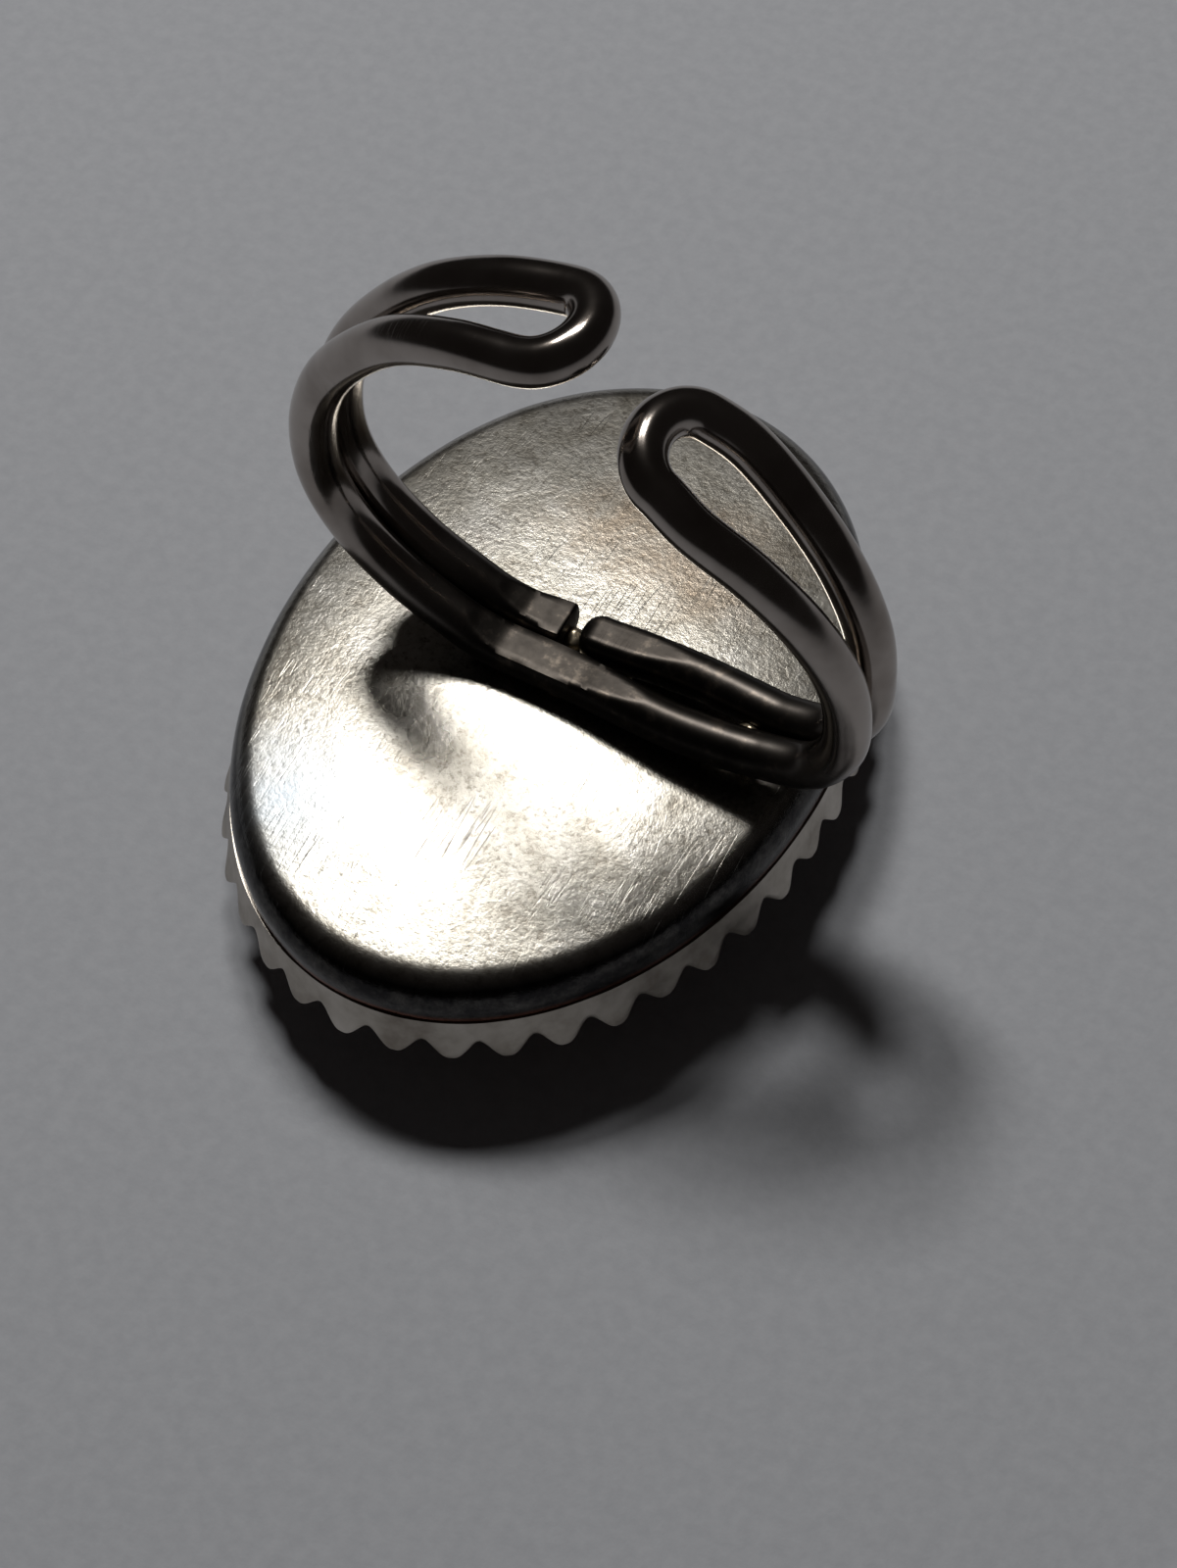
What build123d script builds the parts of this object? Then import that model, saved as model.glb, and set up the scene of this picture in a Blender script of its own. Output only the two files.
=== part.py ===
from build123d import *
import math
import os

# Adjustable finger ring with an oval cabochon, lying face down on its stone.
# +Z up, X across the finger band, Y along the long axis of the oval.
# The origin is the crown of the stone, the point that the ring rests on.

# ---- driving dimensions, mm ----
RIM_Z = 6.0            # height of the flat rim of the back plate above the stone's crown
PLATE_A = 9.45         # half width of the back plate, along X
PLATE_B = 12.9         # half length of the back plate, along Y
PLATE_SHEET = 0.5      # sheet thickness of the back plate
PLATE_SKIRT = 1.75      # depth of the turned-down rim
PLATE_CROWN = 0.75     # dome of the plate's middle over its rim
PLATE_DOMING = 85.0    # radius of the doming, along Y
PLATE_ROUND = 1.25     # rounding of the rim

BAND_OUT = 0.05        # how far the gallery strip stands outside the plate, at its top
BAND_FLARE = 0.40      # how far it spreads outwards, down to the tips
BAND_WALL = 0.33       # thickness of the gallery strip
BAND_SOLID = 0.88      # plain height of the strip, down to the bottom of the scallops
BAND_TIP = 1.45        # full height of the strip, down to the tips
TEETH = 41             # scallops round the strip

STONE_A = 9.0          # half width of the stone, a 25 x 18 mm cabochon
STONE_B = 12.5
STONE_DOME = 4.0       # height of the polished dome
STONE_GIRDLE = 0.2     # plain wall above the dome

WIRE_R = 0.75          # shank wire, 1.5 mm thick
BASE_Z = RIM_Z + 1.55  # centre of the wires where they lie on the plate
SHANK_Y = -0.20        # middle of the shank's band, along Y
GAP = 0.77             # half the pitch of the two wires where they run side by side

HINGE_L = (-2.90, RIM_Z + 2.10)   # (x, z) where the left arm starts to bend
HINGE_R = (8.20, RIM_Z + 1.68)    # (x, z) where the right arm starts to bend
HINGE_CLEAR = 0.06                # running gap between an arm's round end and its base

# stations (x, height above the rim, half spread of the two wires)
LEFT_ARM = [
    (-2.90, 2.10, 0.77), (-4.80, 3.20, 0.77), (-6.40, 4.80, 0.77), (-7.32, 6.80, 0.77),
    (-7.40, 9.20, 0.77), (-6.80, 11.40, 0.79), (-5.55, 13.50, 0.96), (-3.70, 15.45, 1.14),
    (-1.50, 16.65, 1.36), (0.55, 17.20, 1.48),
]
LEFT_TIP = (2.10, 17.65, 1.12)
RIGHT_ARM = [
    (8.20, 1.68, 0.80), (9.82, 2.25, 0.78), (10.78, 3.75, 0.78), (10.98, 5.70, 0.82),
    (10.70, 7.70, 0.98), (9.70, 9.80, 1.22), (8.10, 11.70, 1.50), (6.30, 13.15, 1.74),
    (5.05, 13.95, 1.60),
]
RIGHT_TIP = (4.05, 14.45, 0.98)


def corner_radii(points, share=0.45):
    """Fillet radius at each inner corner of a route, from its shorter run."""
    radii = []
    for a, b, c in zip(points[:-2], points[1:-1], points[2:]):
        u, v = Vector(*b) - Vector(*a), Vector(*c) - Vector(*b)
        half_turn = math.radians(u.get_angle(v)) / 2
        radii.append(share * min(u.length, v.length) / math.tan(half_turn))
    return radii


def hairpin_route(stations, tip):
    """Route of a hairpin: up the front wire, round the tip, down the rear wire."""
    front = [(x, SHANK_Y - g, RIM_Z + h) for x, h, g in stations]
    rear = [(x, SHANK_Y + g, RIM_Z + h) for x, h, g in reversed(stations)]
    x, h, g = tip
    return front + [(x, SHANK_Y - g, RIM_Z + h), (x, SHANK_Y + g, RIM_Z + h)] + rear


def set_back(route, first=True, last=False):
    """Draw the ends of a base wire back from the round ends of the arms."""
    points = [Vector(*p) for p in route]
    if first:
        points[0] += (points[1] - points[0]).normalized() * (WIRE_R + HINGE_CLEAR)
    if last:
        points[-1] += (points[-2] - points[-1]).normalized() * (WIRE_R + HINGE_CLEAR)
    return [(p.X, p.Y, p.Z) for p in points]


os.makedirs("parts", exist_ok=True)

# ---- back plate: a shallow tray, domed, its rim turned down over the gallery strip ----
# A round tray is turned about Z at the oval's length, then drawn in across X.
SKIRT_Z = RIM_Z - PLATE_SKIRT


def tray_blank(radius, crown_z, floor_z, rounding):
    """A round domed blank with a rounded edge."""
    dome_z = crown_z - PLATE_DOMING
    round_r = radius - rounding
    round_z = dome_z + math.sqrt((PLATE_DOMING - rounding) ** 2 - round_r**2)
    out = Vector(round_r, 0, round_z - dome_z).normalized()
    meet = (PLATE_DOMING * out.X, dome_z + PLATE_DOMING * out.Z)
    turn = math.atan2(out.Z, out.X)
    with BuildPart() as blank:
        with BuildSketch(Plane.XZ):
            with BuildLine():
                ThreePointArc(
                    (0, crown_z),
                    (PLATE_DOMING * math.cos((turn + math.pi / 2) / 2),
                     dome_z + PLATE_DOMING * math.sin((turn + math.pi / 2) / 2)),
                    meet,
                )
                ThreePointArc(
                    meet,
                    (round_r + rounding * math.cos(turn / 2), round_z + rounding * math.sin(turn / 2)),
                    (radius, round_z),
                )
                Line((radius, round_z), (radius, floor_z))
                Line((radius, floor_z), (0, floor_z))
                Line((0, floor_z), (0, crown_z))
            make_face()
        revolve(axis=Axis.Z)
    print("rim rounding ends at z", round(round_z, 3))
    return blank.part


ACROSS = PLATE_A / PLATE_B
outer_blank = scale(
    tray_blank(PLATE_B, RIM_Z + PLATE_CROWN, SKIRT_Z, PLATE_ROUND), by=(ACROSS, 1, 1)
)
inner_blank = scale(
    tray_blank(
        PLATE_B - PLATE_SHEET, RIM_Z + PLATE_CROWN - PLATE_SHEET, SKIRT_Z - 0.5,
        PLATE_ROUND - PLATE_SHEET,
    ),
    by=((PLATE_A - PLATE_SHEET) / (PLATE_B - PLATE_SHEET), 1, 1),
)
with BuildPart() as back_plate:
    add(outer_blank)
    add(inner_blank, mode=Mode.SUBTRACT)
back_plate.part.label = "back_plate"
export_step(back_plate.part, "parts/back_plate.step")

# ---- gallery strip: an oval strip under the rim, its lower edge cut in scallops ----
band_a, band_b = PLATE_A + BAND_OUT, PLATE_B + BAND_OUT
arc, steps = [0.0], 7200
for i in range(steps):
    t = 2 * math.pi * (i + 0.5) / steps
    arc.append(arc[-1] + math.hypot(band_a * math.sin(t), band_b * math.cos(t)) * 2 * math.pi / steps)
pitch = arc[-1] / TEETH
notch_angles, k = [], 0
for i in range(steps):
    if arc[i] >= (k + 0.5) * pitch and k < TEETH:
        notch_angles.append(2 * math.pi * i / steps)
        k += 1
notch_r = 0.36 * pitch

with BuildPart() as bezel_band:
    with BuildSketch(Plane.XY.offset(SKIRT_Z)):
        Ellipse(band_a, band_b)
    with BuildSketch(Plane.XY.offset(SKIRT_Z - BAND_TIP)):
        Ellipse(band_a + BAND_FLARE, band_b + BAND_FLARE)
    loft()
    with BuildSketch(Plane.XY.offset(SKIRT_Z)):
        Ellipse(band_a - BAND_WALL, band_b - BAND_WALL)
    with BuildSketch(Plane.XY.offset(SKIRT_Z - BAND_TIP)):
        Ellipse(band_a + BAND_FLARE - BAND_WALL, band_b + BAND_FLARE - BAND_WALL)
    loft(mode=Mode.SUBTRACT)
    for t in notch_angles:
        px, py = band_a * math.cos(t), band_b * math.sin(t)
        normal = Vector(math.cos(t) / band_a, math.sin(t) / band_b, 0).normalized()
        face_plane = Plane(
            origin=Vector(px, py, SKIRT_Z - BAND_TIP) - normal * 1.0,
            x_dir=normal.cross(Vector(0, 0, 1)),
            z_dir=normal,
        )
        with BuildSketch(face_plane):
            Ellipse(notch_r, BAND_TIP - BAND_SOLID)
        extrude(amount=2.4, mode=Mode.SUBTRACT)
bezel_band.part.label = "bezel_band"
export_step(bezel_band.part, "parts/bezel_band.step")

# ---- stone: an oval cabochon, flat back up, polished dome down ----
with BuildPart() as dome_blank:
    Sphere(STONE_DOME)
dome_solid = scale(dome_blank.part, by=(STONE_A / STONE_DOME, STONE_B / STONE_DOME, 1))
STONE_TOP = STONE_DOME + STONE_GIRDLE
with BuildPart() as cabochon:
    with Locations((0, 0, STONE_DOME)):
        add(dome_solid)
    split(bisect_by=Plane.XY.offset(STONE_DOME), keep=Keep.BOTTOM)
    with BuildSketch(Plane.XY.offset(STONE_DOME)):
        Ellipse(STONE_A, STONE_B)
    extrude(amount=STONE_GIRDLE)
cabochon.part.label = "cabochon"
export_step(cabochon.part, "parts/cabochon.step")

# ---- bed: the pad that the stone is set on, inside the tray ----
with BuildPart() as stone_bed:
    with BuildSketch(Plane.XY.offset(STONE_TOP)):
        Ellipse(STONE_A - 1.2, STONE_B - 1.2)
    extrude(amount=3)
    add(inner_blank, mode=Mode.INTERSECT)
stone_bed.part.label = "stone_bed"
export_step(stone_bed.part, "parts/stone_bed.step")

# ---- shank: one wire, cut where its two ends meet, in five stretches ----
left_route = hairpin_route(LEFT_ARM, LEFT_TIP)
right_route = hairpin_route(RIGHT_ARM, RIGHT_TIP)


def end_plane(route):
    """Sketch plane at a route's start, square to its first run."""
    return Plane(origin=Vector(*route[0]), z_dir=Vector(*route[1]) - Vector(*route[0]))


for name, route in (("left", left_route), ("right", right_route)):
    print(name, "hairpin corner radii", [round(r, 2) for r in corner_radii(route)])

with BuildPart() as left_hairpin:
    with BuildLine() as left_path:
        FilletPolyline(*left_route, radius=corner_radii(left_route))
    with BuildSketch(end_plane(left_route)):
        Circle(WIRE_R)
    sweep(path=left_path.wire())
    with Locations(left_route[0], left_route[-1]):
        Sphere(WIRE_R)
left_hairpin.part.label = "left_hairpin"
export_step(left_hairpin.part, "parts/left_hairpin.step")

with BuildPart() as right_hairpin:
    with BuildLine() as right_path:
        FilletPolyline(*right_route, radius=corner_radii(right_route))
    with BuildSketch(end_plane(right_route)):
        Circle(WIRE_R)
    sweep(path=right_path.wire())
    with Locations(right_route[0], right_route[-1]):
        Sphere(WIRE_R)
right_hairpin.part.label = "right_hairpin"
export_step(right_hairpin.part, "parts/right_hairpin.step")

# front wire across the plate, from one hinge to the other, pressed flat in the middle
front_route = set_back([
    (HINGE_L[0], SHANK_Y - GAP, HINGE_L[1]), (-1.20, SHANK_Y - GAP, BASE_Z),
    (1.50, SHANK_Y - 0.80, BASE_Z), (5.00, SHANK_Y - 1.02, BASE_Z),
    (HINGE_R[0], SHANK_Y - 0.80, HINGE_R[1]),
], last=True)
with BuildPart() as shank_front_base:
    with BuildLine() as front_path:
        FilletPolyline(*front_route, radius=corner_radii(front_route))
    with BuildSketch(end_plane(front_route)):
        Circle(WIRE_R)
    sweep(path=front_path.wire())
    with Locations((-0.2, 0, BASE_Z + 0.42 + 8.0)):
        Cylinder(8.0, 6, rotation=(90, 0, 0), mode=Mode.SUBTRACT)
shank_front_base.part.label = "shank_front_base"
export_step(shank_front_base.part, "parts/shank_front_base.step")

# rear wire: two ends, nipped flat, that face each other over a narrow gap
rear_left_route = set_back([
    (HINGE_L[0], SHANK_Y + GAP, HINGE_L[1]), (-1.20, SHANK_Y + GAP, BASE_Z),
    (0.38, SHANK_Y + GAP + 0.02, BASE_Z),
])
with BuildPart() as shank_rear_left_end:
    with BuildLine() as rear_left_path:
        FilletPolyline(*rear_left_route, radius=corner_radii(rear_left_route))
    with BuildSketch(end_plane(rear_left_route)):
        Circle(WIRE_R)
    sweep(path=rear_left_path.wire())
    with Locations((0.4, 0, BASE_Z + 0.42 + 8.0)):
        Cylinder(8.0, 6, rotation=(90, 0, 0), mode=Mode.SUBTRACT)
shank_rear_left_end.part.label = "shank_rear_left_end"
export_step(shank_rear_left_end.part, "parts/shank_rear_left_end.step")

rear_right_route = set_back([
    (HINGE_R[0], SHANK_Y + 0.80, HINGE_R[1]), (5.00, SHANK_Y + 1.02, BASE_Z),
    (2.70, SHANK_Y + 0.93, BASE_Z), (0.78, SHANK_Y + 0.83, BASE_Z),
])
with BuildPart() as shank_rear_right_end:
    with BuildLine() as rear_right_path:
        FilletPolyline(*rear_right_route, radius=corner_radii(rear_right_route))
    with BuildSketch(end_plane(rear_right_route)):
        Circle(WIRE_R)
    sweep(path=rear_right_path.wire())
    with Locations((1.0, 0, BASE_Z + 0.45 + 8.0)):
        Cylinder(8.0, 6, rotation=(90, 0, 0), mode=Mode.SUBTRACT)
shank_rear_right_end.part.label = "shank_rear_right_end"
export_step(shank_rear_right_end.part, "parts/shank_rear_right_end.step")

# ---- solder: the seam that holds the shank to the plate ----
with BuildPart() as solder_seam:
    with BuildSketch(Plane.XY.offset(RIM_Z + 0.2)):
        with Locations((0.8, SHANK_Y)):
            SlotOverall(4.4, 2.9)
    extrude(amount=0.95)
    fillet(solder_seam.edges().group_by(Axis.Z)[-1], 0.3)
    add(outer_blank, mode=Mode.SUBTRACT)
    add(shank_front_base.part, mode=Mode.SUBTRACT)
    add(shank_rear_left_end.part, mode=Mode.SUBTRACT)
    add(shank_rear_right_end.part, mode=Mode.SUBTRACT)
seam_solids = [s for s in solder_seam.part.solids() if s.volume > 0.02]
print("solder solids", [round(s.volume, 3) for s in seam_solids])
solder_joint = Compound(label="solder_joint", children=seam_solids)
export_step(solder_joint, "parts/solder_joint.step")
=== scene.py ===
import bpy, math, random
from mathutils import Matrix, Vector, noise


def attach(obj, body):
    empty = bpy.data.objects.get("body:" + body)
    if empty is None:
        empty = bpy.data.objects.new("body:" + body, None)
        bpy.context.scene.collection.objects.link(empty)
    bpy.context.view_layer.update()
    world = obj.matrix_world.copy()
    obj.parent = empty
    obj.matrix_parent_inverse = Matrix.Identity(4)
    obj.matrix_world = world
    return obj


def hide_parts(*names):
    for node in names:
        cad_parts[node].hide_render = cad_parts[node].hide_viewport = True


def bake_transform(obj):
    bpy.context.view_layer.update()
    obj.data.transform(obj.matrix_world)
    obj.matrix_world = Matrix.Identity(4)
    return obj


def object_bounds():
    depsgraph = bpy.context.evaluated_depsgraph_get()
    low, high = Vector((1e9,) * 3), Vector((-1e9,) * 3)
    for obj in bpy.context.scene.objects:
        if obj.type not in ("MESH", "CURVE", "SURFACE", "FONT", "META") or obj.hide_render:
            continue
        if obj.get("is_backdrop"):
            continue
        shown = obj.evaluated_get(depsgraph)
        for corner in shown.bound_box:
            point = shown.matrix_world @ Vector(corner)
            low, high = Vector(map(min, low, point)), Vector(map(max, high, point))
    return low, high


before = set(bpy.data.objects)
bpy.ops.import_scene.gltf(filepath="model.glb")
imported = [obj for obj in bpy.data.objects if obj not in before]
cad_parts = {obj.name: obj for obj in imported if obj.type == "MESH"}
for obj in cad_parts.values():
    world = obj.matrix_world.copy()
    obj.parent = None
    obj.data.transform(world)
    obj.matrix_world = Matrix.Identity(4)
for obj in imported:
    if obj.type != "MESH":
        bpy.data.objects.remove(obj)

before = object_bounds()
MM = 0.001

# ---- sizes, millimetres, the same numbers as the part's source ----
RIM_Z = 6.0
A, B, SHEET = 9.45, 12.9, 0.5
SKIRT_Z = RIM_Z - 1.75
CROWN_Z = RIM_Z + 0.75
DOMING = 85.0
ROUND = 1.25
BAND_OUT, BAND_FLARE, BAND_WALL, BAND_SOLID, BAND_TIP, TEETH = 0.05, 0.40, 0.33, 0.88, 1.45, 41
STONE_A, STONE_B, STONE_DOME, STONE_GIRDLE = 9.0, 12.5, 4.0, 0.2
R = 0.75
BASE_Z = RIM_Z + 1.55
SY = -0.20

rng = random.Random(4127)


def new_mesh(name, verts, faces, smooth=True, sharp_deg=None):
    me = bpy.data.meshes.new(name)
    me.from_pydata([(v[0] * MM, v[1] * MM, v[2] * MM) for v in verts], [], faces)
    me.update()
    ob = bpy.data.objects.new(name, me)
    bpy.context.scene.collection.objects.link(ob)
    for p in me.polygons:
        p.use_smooth = smooth
    if sharp_deg:
        me.set_sharp_from_angle(angle=math.radians(sharp_deg))
    return ob


# ---- materials ----
class Mat:
    def __init__(self, name):
        self.m = bpy.data.materials.new(name)
        self.m.use_nodes = True
        self.t = self.m.node_tree
        self.n = self.t.nodes
        self.l = self.t.links
        self.bsdf = next(x for x in self.n if x.type == "BSDF_PRINCIPLED")
        self.coord = self.n.new("ShaderNodeTexCoord")

    def link(self, a, b):
        self.l.new(a, b)

    def map(self, scale=(1, 1, 1), rot=(0, 0, 0), loc=(0, 0, 0)):
        x = self.n.new("ShaderNodeMapping")
        x.inputs["Scale"].default_value = scale
        x.inputs["Rotation"].default_value = rot
        x.inputs["Location"].default_value = loc
        self.link(self.coord.outputs["Object"], x.inputs["Vector"])
        return x.outputs["Vector"]

    def noise(self, scale, detail=2.0, rough=0.5, dist=0.0, vec=None):
        x = self.n.new("ShaderNodeTexNoise")
        x.inputs["Scale"].default_value = scale
        x.inputs["Detail"].default_value = detail
        x.inputs["Roughness"].default_value = rough
        x.inputs["Distortion"].default_value = dist
        self.link(vec if vec else self.coord.outputs["Object"], x.inputs["Vector"])
        return x.outputs["Fac"]

    def ramp(self, fac, stops):
        x = self.n.new("ShaderNodeValToRGB")
        e = x.color_ramp.elements
        e[0].position, e[0].color = stops[0][0], (*stops[0][1], 1)
        e[1].position, e[1].color = stops[-1][0], (*stops[-1][1], 1)
        for p, c in stops[1:-1]:
            k = e.new(p)
            k.color = (*c, 1)
        self.link(fac, x.inputs["Fac"])
        return x.outputs["Color"]

    def math(self, op, a, b=None, clamp=False):
        x = self.n.new("ShaderNodeMath")
        x.operation = op
        x.use_clamp = clamp
        for i, v in enumerate((a, b)):
            if v is None:
                continue
            if isinstance(v, (int, float)):
                x.inputs[i].default_value = v
            else:
                self.link(v, x.inputs[i])
        return x.outputs[0]

    def mix(self, fac, a, b):
        x = self.n.new("ShaderNodeMix")
        x.data_type = "RGBA"
        for sock, v in ((x.inputs[0], fac), (x.inputs[6], a), (x.inputs[7], b)):
            if isinstance(v, tuple):
                sock.default_value = (*v, 1)
            elif isinstance(v, (int, float)):
                sock.default_value = v
            else:
                self.link(v, sock)
        return x.outputs[2]

    def blob(self, centre, size):
        """1 at a soft spot's centre (mm), 0 outside."""
        x = self.n.new("ShaderNodeVectorMath")
        x.operation = "SUBTRACT"
        self.link(self.coord.outputs["Object"], x.inputs[0])
        x.inputs[1].default_value = [c * MM for c in centre]
        y = self.n.new("ShaderNodeVectorMath")
        y.operation = "DIVIDE"
        self.link(x.outputs[0], y.inputs[0])
        y.inputs[1].default_value = [s * MM for s in size]
        z = self.n.new("ShaderNodeVectorMath")
        z.operation = "LENGTH"
        self.link(y.outputs[0], z.inputs[0])
        return self.math("SUBTRACT", 1.0, z.outputs["Value"], clamp=True)

    def bump(self, height, strength, distance, normal=None):
        x = self.n.new("ShaderNodeBump")
        x.inputs["Strength"].default_value = strength
        x.inputs["Distance"].default_value = distance
        self.link(height, x.inputs["Height"])
        if normal:
            self.link(normal, x.inputs["Normal"])
        return x.outputs["Normal"]


def scratches(m, angles, scale=90.0, thin=0.012):
    """Fine straight scratches, several directions, broken up along their length."""
    total = None
    for i, a in enumerate(angles):
        vec = m.map(scale=(scale * 34, scale * 1.6, scale * 2), rot=(0, 0, math.radians(a)), loc=(i * 3.1, i * 1.7, i * 0.9))
        f = m.noise(1.0, 1.0, 0.4, 0.0, vec)
        line = m.math("SUBTRACT", 1.0, m.math("MULTIPLY", m.math("ABSOLUTE", m.math("SUBTRACT", f, 0.5)), 1.0 / thin), clamp=True)
        gate = m.noise(230.0 + 30 * i, 1.0, 0.5, 0.0, m.map(loc=(i * 0.31, 0.13 * i, 0)))
        gate = m.math("MULTIPLY", m.math("SUBTRACT", gate, 0.60), 6.0, clamp=True)
        line = m.math("MULTIPLY", line, gate)
        total = line if total is None else m.math("MAXIMUM", total, line)
    return total


def plate_material():
    m = Mat("plate_metal_finish")
    b = m.bsdf
    b.inputs["Metallic"].default_value = 1.0
    haze = m.noise(170.0, 4.0, 0.6)
    cloud = m.noise(420.0, 5.0, 0.7, 0.6)
    fine = m.noise(2600.0, 3.0, 0.6)
    grain = m.noise(4200.0, 4.0, 0.75)
    big = m.noise(60.0, 2.0, 0.5)
    col = m.ramp(cloud, [(0.32, (0.34, 0.312, 0.265)), (0.48, (0.54, 0.512, 0.455)), (0.66, (0.68, 0.652, 0.60))])
    speck = m.math("MULTIPLY", m.math("SUBTRACT", 0.50, grain), 5.0, clamp=True)
    col = m.mix(m.math("MULTIPLY", speck, 0.85), col, (0.20, 0.175, 0.14))
    smudge = m.math("MULTIPLY", m.math("MULTIPLY", m.blob((1.6, 5.6, 6.6), (7.5, 4.2, 3)), 1.5, clamp=True), m.noise(330.0, 5.0, 0.7, 0.8))
    smudge = m.math("MULTIPLY", m.math("SUBTRACT", smudge, 0.22), 3.2, clamp=True)
    col = m.mix(m.math("MULTIPLY", smudge, 0.75), col, (0.34, 0.265, 0.195))
    patch = m.math("MULTIPLY", m.blob((-5.0, -8.3, 6.0), (3.6, 3.4, 3)), m.noise(700.0, 3.0, 0.6))
    patch = m.math("MULTIPLY", patch, 1.6, clamp=True)
    col = m.mix(patch, col, (0.52, 0.57, 0.62))
    sc = scratches(m, (12, 38, 63, 97, 128, 161))
    col = m.mix(m.math("MULTIPLY", sc, 0.30), col, (0.95, 0.92, 0.86))
    sep = m.n.new("ShaderNodeSeparateXYZ")
    m.link(m.coord.outputs["Object"], sep.inputs[0])
    # painted shade: the rounded rim and skirt, below 5.92 mm, are painted near black, standing in for the dark room and
    # shadowed paper they reflect
    low = m.math("MULTIPLY", m.math("SUBTRACT", 0.00592, sep.outputs["Z"]), 2600.0, clamp=True)
    low = m.math("MULTIPLY", low, m.math("ADD", 0.74, m.math("MULTIPLY", m.noise(1300.0, 5.0, 0.75), 0.45)), clamp=True)
    col = m.mix(low, col, (0.026, 0.025, 0.026))
    # painted shade: the foot of the skirt, below 4.55 mm where it meets the gallery strip, is painted dark reddish
    # brown
    red = m.math("MULTIPLY", m.math("SUBTRACT", 0.00455, sep.outputs["Z"]), 6000.0, clamp=True)
    col = m.mix(m.math("MULTIPLY", red, 0.8), col, (0.16, 0.055, 0.030))
    m.link(col, b.inputs["Base Color"])
    rough = m.math("ADD", 0.215, m.math("MULTIPLY", haze, 0.08))
    rough = m.math("ADD", rough, m.math("MULTIPLY", big, 0.06))
    rough = m.math("ADD", rough, m.math("MULTIPLY", patch, 0.12))
    rough = m.math("SUBTRACT", rough, m.math("MULTIPLY", low, 0.14))
    m.link(rough, b.inputs["Roughness"])
    h = m.math("ADD", m.math("MULTIPLY", fine, 0.35), m.math("MULTIPLY", sc, -1.0))
    nrm = m.bump(m.noise(240.0, 2.0, 0.5), 0.25, 0.00006)
    nrm = m.bump(cloud, 0.22, 0.00004, nrm)
    nrm = m.bump(grain, 0.55, 0.000026, nrm)
    nrm = m.bump(h, 0.45, 0.000016, nrm)
    m.link(nrm, b.inputs["Normal"])
    return m.m


def band_material():
    m = Mat("band_metal_finish")
    b = m.bsdf
    b.inputs["Metallic"].default_value = 1.0
    n1 = m.noise(500.0, 4.0, 0.6)
    col = m.ramp(n1, [(0.3, (0.22, 0.19, 0.16)), (0.5, (0.42, 0.385, 0.34)), (0.72, (0.60, 0.56, 0.51))])
    m.link(col, b.inputs["Base Color"])
    m.link(m.math("ADD", 0.26, m.math("MULTIPLY", n1, 0.22)), b.inputs["Roughness"])
    nrm = m.bump(m.noise(900.0, 3.0, 0.6), 0.5, 0.00006)
    nrm = m.bump(m.noise(5200.0, 2.0, 0.6), 0.3, 0.000012, nrm)
    m.link(nrm, b.inputs["Normal"])
    return m.m


def wire_material():
    m = Mat("wire_metal_finish")
    b = m.bsdf
    b.inputs["Metallic"].default_value = 1.0
    n1 = m.noise(420.0, 3.0, 0.6)
    n2 = m.noise(1500.0, 4.0, 0.65)
    fine = m.noise(3200.0, 3.0, 0.6)
    sep = m.n.new("ShaderNodeSeparateXYZ")
    m.link(m.coord.outputs["Object"], sep.inputs[0])
    low = m.math("MULTIPLY", m.math("SUBTRACT", 0.0105, sep.outputs["Z"]), 420.0, clamp=True)
    col = m.ramp(n1, [(0.3, (0.27, 0.235, 0.21)), (0.6, (0.40, 0.36, 0.33))])
    dark = m.ramp(n2, [(0.34, (0.010, 0.0085, 0.007)), (0.55, (0.022, 0.019, 0.016)), (0.70, (0.085, 0.070, 0.056))])
    col = m.mix(m.math("MULTIPLY", low, 0.95), col, dark)
    m.link(col, b.inputs["Base Color"])
    sc = scratches(m, (25, 80, 140), scale=120.0)
    rough = m.math("ADD", 0.125, m.math("MULTIPLY", low, 0.20))
    rough = m.math("ADD", rough, m.math("MULTIPLY", n1, 0.08))
    rough = m.math("ADD", rough, m.math("MULTIPLY", sc, 0.10))
    m.link(rough, b.inputs["Roughness"])
    nrm = m.bump(m.noise(650.0, 2.0, 0.5), 0.35, 0.00004)
    h = m.math("ADD", m.math("MULTIPLY", fine, 0.5), m.math("MULTIPLY", sc, -0.7))
    nrm = m.bump(h, 0.30, 0.00001, nrm)
    m.link(nrm, b.inputs["Normal"])
    return m.m


def solder_material():
    m = Mat("solder_finish")
    b = m.bsdf
    b.inputs["Metallic"].default_value = 1.0
    n1 = m.noise(1400.0, 3.0, 0.6)
    col = m.ramp(n1, [(0.3, (0.42, 0.33, 0.22)), (0.6, (0.74, 0.64, 0.48)), (0.75, (0.86, 0.80, 0.68))])
    m.link(col, b.inputs["Base Color"])
    m.link(m.math("ADD", 0.22, m.math("MULTIPLY", n1, 0.25)), b.inputs["Roughness"])
    m.link(m.bump(m.noise(2400.0, 2.0, 0.6), 0.5, 0.00004), b.inputs["Normal"])
    return m.m


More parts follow.
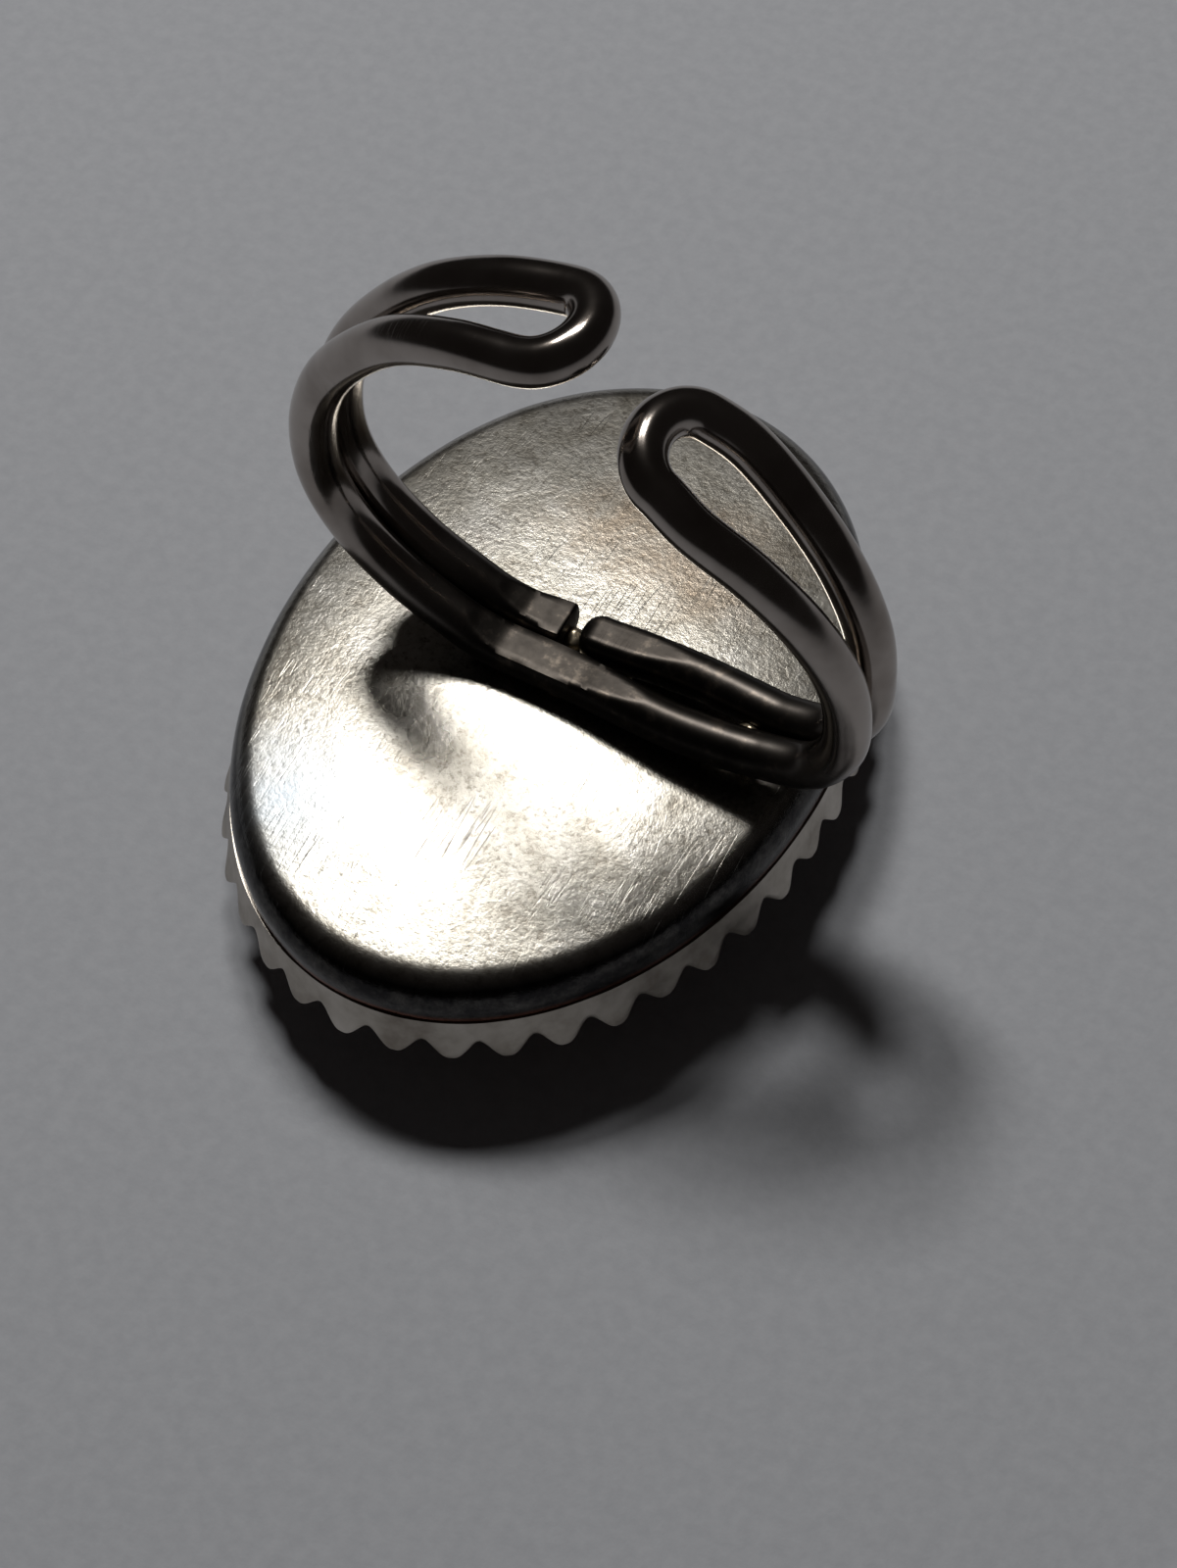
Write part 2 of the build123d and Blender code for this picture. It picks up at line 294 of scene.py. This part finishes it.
def stone_material():
    m = Mat("stone_painted_shade_dark")
    b = m.bsdf
    b.inputs["Metallic"].default_value = 0.0
    n1 = m.noise(120.0, 6.0, 0.65, 1.2)
    # painted shade: this near-black, reddish brown colour stands in for the shadow the stone sits in under the ring,
    # not a known colour of the stone
    col = m.ramp(n1, [(0.30, (0.010, 0.006, 0.004)), (0.50, (0.035, 0.016, 0.008)), (0.62, (0.10, 0.045, 0.018)), (0.70, (0.022, 0.010, 0.006))])
    m.link(col, b.inputs["Base Color"])
    m.link(m.math("ADD", 0.08, m.math("MULTIPLY", m.noise(700.0, 3.0, 0.6), 0.08)), b.inputs["Roughness"])
    b.inputs["Coat Weight"].default_value = 0.6
    b.inputs["Coat Roughness"].default_value = 0.04
    m.link(m.bump(n1, 0.05, 0.00004), b.inputs["Normal"])
    return m.m


def bed_material():
    m = Mat("bed_finish")
    b = m.bsdf
    n1 = m.noise(900.0, 3.0, 0.6)
    col = m.ramp(n1, [(0.3, (0.10, 0.085, 0.06)), (0.7, (0.22, 0.19, 0.14))])
    m.link(col, b.inputs["Base Color"])
    m.link(m.math("ADD", 0.55, m.math("MULTIPLY", n1, 0.2)), b.inputs["Roughness"])
    return m.m


def floor_material():
    m = Mat("paper")
    b = m.bsdf
    n1 = m.noise(1800.0, 4.0, 0.6)
    col = m.ramp(n1, [(0.35, (0.53, 0.545, 0.585)), (0.65, (0.575, 0.59, 0.63))])
    m.link(col, b.inputs["Base Color"])
    b.inputs["Roughness"].default_value = 0.85
    b.inputs["Specular IOR Level"].default_value = 0.2
    m.link(m.bump(n1, 0.25, 0.00008), b.inputs["Normal"])
    return m.m


MAT_PLATE = plate_material()
MAT_BAND = band_material()
MAT_WIRE = wire_material()
MAT_SOLDER = solder_material()
MAT_STONE = stone_material()
MAT_BED = bed_material()


# ---- back plate: a closed domed tray, soft dents left by hand work ----
def tray_section(radius, crown_z, low_z, rounding, n_dome, n_round, n_skirt):
    """(radius, z) from the middle of the dome to the bottom of the skirt."""
    dome_z = crown_z - DOMING
    rr = radius - rounding
    rz = dome_z + math.sqrt((DOMING - rounding) ** 2 - rr * rr)
    turn = math.atan2(rz - dome_z, rr)
    pts = []
    for i in range(1, n_dome + 1):
        a = math.pi / 2 + (turn - math.pi / 2) * i / n_dome
        pts.append((DOMING * math.cos(a), dome_z + DOMING * math.sin(a)))
    for i in range(1, n_round + 1):
        a = turn * (1 - i / n_round)
        pts.append((rr + rounding * math.cos(a), rz + rounding * math.sin(a)))
    for i in range(1, n_skirt + 1):
        pts.append((radius, rz + (low_z - rz) * i / n_skirt))
    return pts


def dent(x, y, side=0.0):
    """Gentle unevenness of hand-worked sheet, mm."""
    p = Vector((x * 0.21, y * 0.21, 1.7))
    q = Vector((x * 0.62, y * 0.62, 5.3))
    return 0.035 * noise.noise(p) + 0.010 * noise.noise(q)


def build_plate():
    seg = 320
    outer = tray_section(B, CROWN_Z, SKIRT_Z, ROUND, 46, 14, 3)
    inner = tray_section(B - SHEET, CROWN_Z - SHEET, SKIRT_Z, ROUND - SHEET, 12, 5, 2)
    verts, faces = [], []

    def ring(r, z, ax, wav):
        base = len(verts)
        for k in range(seg):
            t = 2 * math.pi * k / seg
            x, y = r * ax * math.cos(t), r * math.sin(t)
            dz = dent(x, y) if wav else 0.0
            dr = 1.0
            if wav and r > B - ROUND:
                dr = 1 + 0.0016 * noise.noise(Vector((x * 0.5, y * 0.5, 9.0)))
            verts.append((x * dr, y * dr, z + dz * (1.0 if z > SKIRT_Z + 0.3 else 0.0)))
        return base

    ax_out = A / B
    ax_in = (A - SHEET) / (B - SHEET)
    verts.append((0, 0, CROWN_Z + dent(0, 0)))
    last = None
    rows = []
    for r, z in outer:
        rows.append(ring(r, z, ax_out, True))
    first = rows[0]
    for k in range(seg):
        faces.append((0, first + k, first + (k + 1) % seg))
    irows = [ring(r, z, ax_in, False) for r, z in reversed(inner)]
    rows += irows
    for a, b in zip(rows, rows[1:]):
        for k in range(seg):
            k2 = (k + 1) % seg
            faces.append((a + k, b + k, b + k2, a + k2))
    c = len(verts)
    verts.append((0, 0, CROWN_Z - SHEET))
    lastrow = rows[-1]
    for k in range(seg):
        faces.append((c, lastrow + (k + 1) % seg, lastrow + k))
    ob = new_mesh("plate_shell", verts, faces, True, 50)
    ob.data.materials.append(MAT_PLATE)
    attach(ob, "root")
    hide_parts("back_plate")
    return ob


# ---- gallery strip: flared, its lower edge cut to a wave of rounded teeth ----
def build_band():
    per = 26
    # arc length table of the oval
    n = 4000
    a0, b0 = A + BAND_OUT, B + BAND_OUT
    acc, tab = 0.0, [(0.0, 0.0)]
    for i in range(1, n + 1):
        t = 2 * math.pi * (i - 0.5) / n
        acc += math.hypot(a0 * math.sin(t), b0 * math.cos(t)) * 2 * math.pi / n
        tab.append((acc, 2 * math.pi * i / n))
    total = acc
    seg = TEETH * per

    def angle_at(s):
        lo, hi = 0, n
        while hi - lo > 1:
            mid = (lo + hi) // 2
            if tab[mid][0] <= s:
                lo = mid
            else:
                hi = mid
        s0, t0 = tab[lo]
        s1, t1 = tab[hi]
        return t0 + (t1 - t0) * (s - s0) / (s1 - s0)

    amp = [rng.uniform(-0.06, 0.05) for _ in range(TEETH + 1)]
    lean = [rng.uniform(-0.06, 0.06) for _ in range(TEETH + 1)]
    shift = [rng.uniform(-0.05, 0.05) for _ in range(TEETH + 1)]
    levels = 9
    verts, faces = [], []
    cols = []
    for k in range(seg):
        u = k / per                                # tooth coordinate, valleys at whole numbers
        i0 = int(u) % TEETH
        f = u - int(u)
        d = abs(f - 0.5 + shift[i0] * 0.5)         # 0 at the tooth's middle, .5 at the valley
        # rounded tooth, narrower rounded valley
        w = min(1.0, max(0.0, (0.5 - d) / 0.5))
        shape = (0.5 - 0.5 * math.cos(math.pi * min(1.0, w * 1.08))) ** 0.85
        low = BAND_SOLID - 0.06 + (BAND_TIP - BAND_SOLID + 0.10 + amp[i0]) * shape
        t = angle_at(total * ((k + 0.5 + per * 0.10) / seg % 1.0))
        nx, ny = math.cos(t) / a0, math.sin(t) / b0
        ln = math.hypot(nx, ny)
        nx, ny = nx / ln, ny / ln
        px, py = a0 * math.cos(t), b0 * math.sin(t)
        col = []
        for side in (0, 1):
            for j in range(levels + 1):
                v = j / levels
                h = low * v
                flare = BAND_FLARE * (h / BAND_TIP) ** 1.3
                flare += 0.05 * math.sin(math.pi * min(1, h / BAND_SOLID)) * 0.4
                flare += lean[i0] * max(0, h - BAND_SOLID * 0.7) * shape
                flare += 0.012 * noise.noise(Vector((px * 0.8, py * 0.8, h * 2)))
                edge = 0.06 * (1 if v > 0.93 else 0)
                if side == 0:
                    off = flare - edge * 0.6
                else:
                    off = flare - BAND_WALL + edge * 0.6
                z = SKIRT_Z - h
                col.append((px + nx * off, py + ny * off, z))
        outer = col[:levels + 1]
        inner = col[levels + 1:][::-1]
        cols.append(outer + inner)
    m = len(cols[0])
    for c in cols:
        verts.extend(c)
    for k in range(seg):
        k2 = (k + 1) % seg
        for j in range(m):
            j2 = (j + 1) % m
            faces.append((k * m + j, k * m + j2, k2 * m + j2, k2 * m + j))
    ob = new_mesh("gallery_strip", verts, faces, True, 42)
    ob.data.materials.append(MAT_BAND)
    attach(ob, "root")
    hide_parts("bezel_band")
    return ob


# ---- wires ----
def catmull(points, step=0.11):
    """Smooth curve through the points, evenly stepped (centripetal)."""
    pts = [Vector(p) for p in points]
    ext = [pts[0] * 2 - pts[1]] + pts + [pts[-1] * 2 - pts[-2]]
    raw = []
    for i in range(1, len(ext) - 2):
        p0, p1, p2, p3 = ext[i - 1:i + 3]
        t0 = 0.0
        t1 = t0 + max(1e-6, (p1 - p0).length) ** 0.5
        t2 = t1 + max(1e-6, (p2 - p1).length) ** 0.5
        t3 = t2 + max(1e-6, (p3 - p2).length) ** 0.5
        n = 24
        for k in range(n):
            t = t1 + (t2 - t1) * k / n
            a1 = p0 * ((t1 - t) / (t1 - t0)) + p1 * ((t - t0) / (t1 - t0))
            a2 = p1 * ((t2 - t) / (t2 - t1)) + p2 * ((t - t1) / (t2 - t1))
            a3 = p2 * ((t3 - t) / (t3 - t2)) + p3 * ((t - t2) / (t3 - t2))
            b1 = a1 * ((t2 - t) / (t2 - t0)) + a2 * ((t - t0) / (t2 - t0))
            b2 = a2 * ((t3 - t) / (t3 - t1)) + a3 * ((t - t1) / (t3 - t1))
            raw.append(b1 * ((t2 - t) / (t2 - t1)) + b2 * ((t - t1) / (t2 - t1)))
    raw.append(pts[-1])
    out = [raw[0]]
    carry = 0.0
    for a, b in zip(raw, raw[1:]):
        d = (b - a).length
        if d < 1e-9:
            continue
        pos = step - carry
        while pos <= d:
            out.append(a + (b - a) * (pos / d))
            pos += step
        carry = (carry + d) % step
    if (out[-1] - raw[-1]).length > step * 0.3:
        out.append(raw[-1])
    else:
        out[-1] = raw[-1]
    return out


def arm_route(stations, tip):
    """Front wire up, round the nose, rear wire back down."""
    x, h, g = tip
    px, ph, pg = stations[-1]
    run = math.hypot(x - px, h - ph)
    dx, dh = (x - px) / run, (h - ph) / run
    reach = 1.42
    cx, ch = x - dx * reach, h - dh * reach
    keep = stations[:-1]
    front = [(a, SY - c, RIM_Z + b) for a, b, c in keep]
    rear = [(a, SY + c, RIM_Z + b) for a, b, c in reversed(keep)]
    nose = []
    for deg in (-90, -67, -45, -22, 0, 22, 45, 67, 90):
        s, c = math.sin(math.radians(deg)), math.cos(math.radians(deg))
        nose.append((cx + dx * reach * c, SY + pg * s, RIM_Z + ch + dh * reach * c))
    return front + nose + rear


def facet_radius(phi, flat):
    """Half size of a round wire pressed to 'flat' (mm above its centre) on top."""
    r = R
    if flat is not None:
        s = math.sin(phi)
        if s > 0 and r * s > flat:
            r = flat / s
    return r


def tube(name, path, shape, round_end=False, ring=40):
    """shape(point, u) -> (flat height above centre or None, swell)"""
    verts, faces = [], []
    n = len(path)
    # frame: 'up' kept as steady as it can be, starting from +Z
    tang = []
    for i in range(n):
        a, b = path[max(0, i - 1)], path[min(n - 1, i + 1)]
        tang.append((b - a).normalized())
    up = Vector((0, 0, 1))
    up = (up - tang[0] * up.dot(tang[0])).normalized()
    ups = [up]
    for i in range(1, n):
        ax = tang[i - 1].cross(tang[i])
        if ax.length > 1e-9:
            from_q = tang[i - 1].rotation_difference(tang[i])
            up = from_q @ up
        up = (up - tang[i] * up.dot(tang[i])).normalized()
        ups.append(up)
    for i in range(n):
        t, u = tang[i], ups[i]
        s = t.cross(u).normalized()
        flat, swell = shape(path[i], i / (n - 1))
        wob = 1 + 0.008 * noise.noise(path[i] * 0.7)
        for k in range(ring):
            phi = 2 * math.pi * k / ring
            # measured against world up for the facet
            d = u * math.cos(phi) + s * math.sin(phi)
            r = R * swell * wob
            if flat is not None and abs(t.z) < 0.75:
                dz = d.z
                if dz > 0 and r * dz > flat:
                    r = flat / dz
                    lim = R * 1.06
                    r = min(r, lim) if dz > 0.72 else min(r, R * swell * wob)
            p = path[i] + d * r
            verts.append(tuple(p))
        if i:
            for k in range(ring):
                k2 = (k + 1) % ring
                faces.append(((i - 1) * ring + k, (i - 1) * ring + k2, i * ring + k2, i * ring + k))
    # caps, slightly rounded
    for end, base, sign in ((0, 0, -1), (n - 1, (n - 1) * ring, 1)):
        t = tang[end] * sign
        prev = base
        rounded = [(math.cos(a), 0.62 * math.sin(a)) for a in (0.25, 0.5, 0.75, 1.0, 1.25)]
        cut = [(0.975, 0.02), (0.90, 0.06), (0.5, 0.08)]
        steps = rounded if (round_end and sign > 0) else cut
        for q, push in steps:
            b = len(verts)
            c = path[end] + t * push
            for k in range(ring):
                v = Vector(verts[base + k]) - path[end]
                verts.append(tuple(c + v * q))
            for k in range(ring):
                k2 = (k + 1) % ring
                f = (prev + k, prev + k2, b + k2, b + k)
                faces.append(f if sign > 0 else f[::-1])
            prev = b
        c = len(verts)
        verts.append(tuple(path[end] + t * (0.62 if steps is rounded else 0.085)))
        for k in range(ring):
            k2 = (k + 1) % ring
            f = (prev + k, prev + k2, c)
            faces.append(f if sign > 0 else f[::-1])
    ob = new_mesh(name, verts, faces, True, 38)
    return ob


LEFT_ARM = [
    (-2.90, 2.10, 0.77), (-4.80, 3.20, 0.77), (-6.40, 4.80, 0.77), (-7.32, 6.80, 0.77),
    (-7.40, 9.20, 0.77), (-6.80, 11.40, 0.79), (-5.55, 13.50, 0.96), (-3.70, 15.45, 1.14),
    (-1.50, 16.65, 1.36), (0.55, 17.20, 1.48),
]
LEFT_TIP = (2.10, 17.65, 1.12)
RIGHT_ARM = [
    (8.20, 1.68, 0.80), (9.82, 2.25, 0.78), (10.78, 3.75, 0.78), (10.98, 5.70, 0.82),
    (10.70, 7.70, 0.98), (9.70, 9.80, 1.22), (8.10, 11.70, 1.50), (6.30, 13.15, 1.74),
    (5.05, 13.95, 1.60),
]
RIGHT_TIP = (4.05, 14.45, 0.98)


def smooth01(x):
    x = max(0.0, min(1.0, x))
    return x * x * (3 - 2 * x)


def left_shape(p, u):
    flat, swell = None, 1.0
    if p.z < 9.8 and p.x > -3.8:
        if p.y < SY:      # front wire, pressed over the middle
            k = smooth01((p.x + 3.7) / 3.2) * smooth01((4.6 - p.x) / 3.6)
            flat = R - 0.27 * k + 0.035 * noise.noise(p * 1.3)
            swell = 1 + 0.05 * k
            if k <= 0:
                flat = None
        else:             # rear wire, pressed and spread at its cut end
            k = smooth01((p.x + 3.0) / 2.4)
            flat = R - 0.24 * k + 0.035 * noise.noise(p * 1.3)
            swell = 1 + 0.10 * smooth01((p.x + 1.2) / 1.2)
            if k <= 0:
                flat = None
    return flat, swell


def right_shape(p, u):
    flat, swell = None, 1.0
    if p.y > SY and p.z < 9.2 and p.x < 5.6:
        k = smooth01((5.0 - p.x) / 2.6)
        flat = R - 0.16 * k
        swell = 1 + 0.04 * k
        if k <= 0:
            flat = None
    return flat, swell


left_front = [(6.95, SY - 0.905, BASE_Z + 0.005), (6.0, SY - 0.975, BASE_Z), (5.00, SY - 1.02, BASE_Z), (3.20, SY - 0.93, BASE_Z), (1.50, SY - 0.80, BASE_Z), (0.65, SY - 0.785, BASE_Z), (-0.30, SY - 0.77, BASE_Z), (-1.20, SY - 0.77, BASE_Z + 0.02), (-2.10, SY - 0.77, BASE_Z + 0.20)]
left_rear = [(-2.10, SY + 0.77, BASE_Z + 0.20), (-1.20, SY + 0.77, BASE_Z + 0.02), (-0.30, SY + 0.775, BASE_Z), (0.30, SY + 0.79, BASE_Z)]
right_front = [(6.93, SY - 0.906, BASE_Z + 0.005), (7.3, SY - 0.875, BASE_Z + 0.03)]
right_rear = [(7.3, SY + 0.875, BASE_Z + 0.03), (6.0, SY + 0.975, BASE_Z), (5.00, SY + 1.02, BASE_Z), (2.70, SY + 0.93, BASE_Z), (1.90, SY + 0.87, BASE_Z), (1.42, SY + 0.85, BASE_Z)]


def build_wires():
    path = catmull(left_front + arm_route(LEFT_ARM, LEFT_TIP) + left_rear)
    ob = tube("left_wire", path, left_shape)
    ob.data.materials.append(MAT_WIRE)
    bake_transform(ob)
    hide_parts("left_hairpin", "shank_rear_left_end", "shank_front_base")
    path = catmull(right_front + arm_route(RIGHT_ARM, RIGHT_TIP) + right_rear)
    ob2 = tube("right_wire", path, right_shape, round_end=True)
    ob2.data.materials.append(MAT_WIRE)
    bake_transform(ob2)
    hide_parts("right_hairpin", "shank_rear_right_end")
    return ob, ob2


# ---- solder: seam under the wires, a bead in the notch between the two ends ----
def blob(verts, faces, centre, size, seed, nu=20, nv=12):
    base = len(verts)
    c = Vector(centre)
    for j in range(nv + 1):
        th = math.pi * j / nv
        for i in range(nu):
            ph = 2 * math.pi * i / nu
            d = Vector((math.sin(th) * math.cos(ph), math.sin(th) * math.sin(ph), math.cos(th)))
            k = 1 + 0.16 * noise.noise(d * 1.6 + Vector((seed, 0, 0)))
            verts.append((c.x + d.x * size[0] * k, c.y + d.y * size[1] * k, c.z + d.z * size[2] * k))
            if j in (0, nv):
                break
    top = base
    first = base + 1
    for i in range(nu):
        faces.append((top, first + i, first + (i + 1) % nu))
    for j in range(nv - 2):
        a, b = first + j * nu, first + (j + 1) * nu
        for i in range(nu):
            i2 = (i + 1) % nu
            faces.append((a + i, b + i, b + i2, a + i2))
    bot = first + (nv - 1) * nu
    a = first + (nv - 2) * nu
    for i in range(nu):
        faces.append((bot, a + (i + 1) % nu, a + i))


def build_solder():
    verts, faces = [], []
    blob(verts, faces, (0.8, SY, 6.72), (2.1, 1.15, 0.36), 1.0, 64, 14)
    ob = new_mesh("solder_seam", verts, faces, True)
    ob.data.materials.append(MAT_SOLDER)
    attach(ob, "root")
    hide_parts("solder_joint")
    verts, faces = [], []
    blob(verts, faces, (0.58, SY + 0.72, 7.12), (0.40, 0.42, 0.42), 4.0)
    ob = new_mesh("solder_bead", verts, faces, True)
    ob.data.materials.append(MAT_SOLDER)
    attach(ob, "root")
    verts, faces = [], []
    blob(verts, faces, (7.25, SY + 0.0, 7.30), (0.42, 0.30, 0.34), 7.0)
    ob = new_mesh("solder_nick", verts, faces, True)
    ob.data.materials.append(MAT_SOLDER)
    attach(ob, "root")


# ---- stone: a polished oval cabochon ----
def build_stone():
    seg, n = 256, 44
    verts, faces, rows = [], [], []
    verts.append((0, 0, 0))
    for i in range(1, n + 1):
        a = math.pi / 2 * i / n
        r, z = math.sin(a), STONE_DOME * (1 - math.cos(a))
        rows.append(len(verts))
        for k in range(seg):
            t = 2 * math.pi * k / seg
            verts.append((STONE_A * r * math.cos(t), STONE_B * r * math.sin(t), z))
    for r, z in ((1.0, STONE_DOME + STONE_GIRDLE), (0.985, STONE_DOME + STONE_GIRDLE)):
        rows.append(len(verts))
        for k in range(seg):
            t = 2 * math.pi * k / seg
            verts.append((STONE_A * r * math.cos(t), STONE_B * r * math.sin(t), z))
    for k in range(seg):
        faces.append((0, rows[0] + (k + 1) % seg, rows[0] + k))
    for a, b in zip(rows, rows[1:]):
        for k in range(seg):
            k2 = (k + 1) % seg
            faces.append((a + k, a + k2, b + k2, b + k))
    c = len(verts)
    verts.append((0, 0, STONE_DOME + STONE_GIRDLE))
    for k in range(seg):
        faces.append((c, rows[-1] + k, rows[-1] + (k + 1) % seg))
    ob = new_mesh("stone_cabochon", verts, faces, True, 50)
    ob.data.materials.append(MAT_STONE)
    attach(ob, "root")
    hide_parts("cabochon")


build_plate()
build_band()
build_wires()
build_solder()
build_stone()
bed = bpy.data.objects.get("stone_bed")
for slot in bed.material_slots:
    slot.material = MAT_BED

# ---- floor, light, camera ----
bpy.ops.mesh.primitive_plane_add(size=1.6, location=(0, 0, 0))
floor = bpy.context.object
floor.name = "floor"
floor.data.materials.append(floor_material())
floor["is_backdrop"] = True

LIGHT_D = 0.30
for name, azim, elev, wide, tall, power in (
    ("window_rear", 116.0, 65.0, 0.040, 0.050, 0.165),
    ("window_left", 140.0, 60.5, 0.046, 0.054, 0.270),
):
    a, e = math.radians(azim), math.radians(elev)
    ldir = Vector((math.cos(a) * math.cos(e), math.sin(a) * math.cos(e), math.sin(e)))
    light = bpy.data.lights.new(name, "AREA")
    light.shape = "RECTANGLE"
    light.size = wide
    light.size_y = tall
    light.energy = power
    light.color = (1.0, 0.985, 0.955)
    lo = bpy.data.objects.new(name, light)
    bpy.context.scene.collection.objects.link(lo)
    lo.location = ldir * LIGHT_D + Vector((0, 0, 0.006))
    lo.rotation_euler = ldir.to_track_quat("Z", "Y").to_euler()

world = bpy.data.worlds.new("room")
bpy.context.scene.world = world
world.use_nodes = True
bg = world.node_tree.nodes["Background"]
bg.inputs["Color"].default_value = (0.013, 0.0115, 0.011, 1)
bg.inputs["Strength"].default_value = 1.0

az, el, roll = math.radians(31.6), math.radians(56.0), math.radians(-3.4)
back = Vector((math.sin(az) * math.cos(el), -math.cos(az) * math.cos(el), math.sin(el)))
right = Vector((math.cos(az), math.sin(az), 0))
up = back.cross(right)
r = math.cos(roll) * right + math.sin(roll) * up
u = -math.sin(roll) * right + math.cos(roll) * up
C = (1.1748 * r - 3.7953 * u + 125 * back + Vector((0, 0, 6))) * MM
cam = bpy.data.cameras.new("camera")
cam.sensor_fit = "VERTICAL"
cam.sensor_height = 36
cam.sensor_width = 36
cam.lens = 3968.75 / 1600 * 36
cam.clip_start = 0.001
cam.clip_end = 10
cam.dof.use_dof = False
co = bpy.data.objects.new("camera", cam)
bpy.context.scene.collection.objects.link(co)
from mathutils import Matrix
co.matrix_world = Matrix((
    (r.x, u.x, back.x, C.x), (r.y, u.y, back.y, C.y), (r.z, u.z, back.z, C.z), (0, 0, 0, 1)))
bpy.context.scene.camera = co
bpy.context.scene.view_settings.view_transform = "Standard"
bpy.context.scene.view_settings.look = "None"

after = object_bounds()


def plain(v):
    if isinstance(v, dict):
        return {str(k): plain(x) for k, x in v.items()}
    if isinstance(v, (int, float, str, bool)) or v is None:
        return v
    return [plain(x) for x in list(v)]


{"before": plain(before), "after": plain(after)}
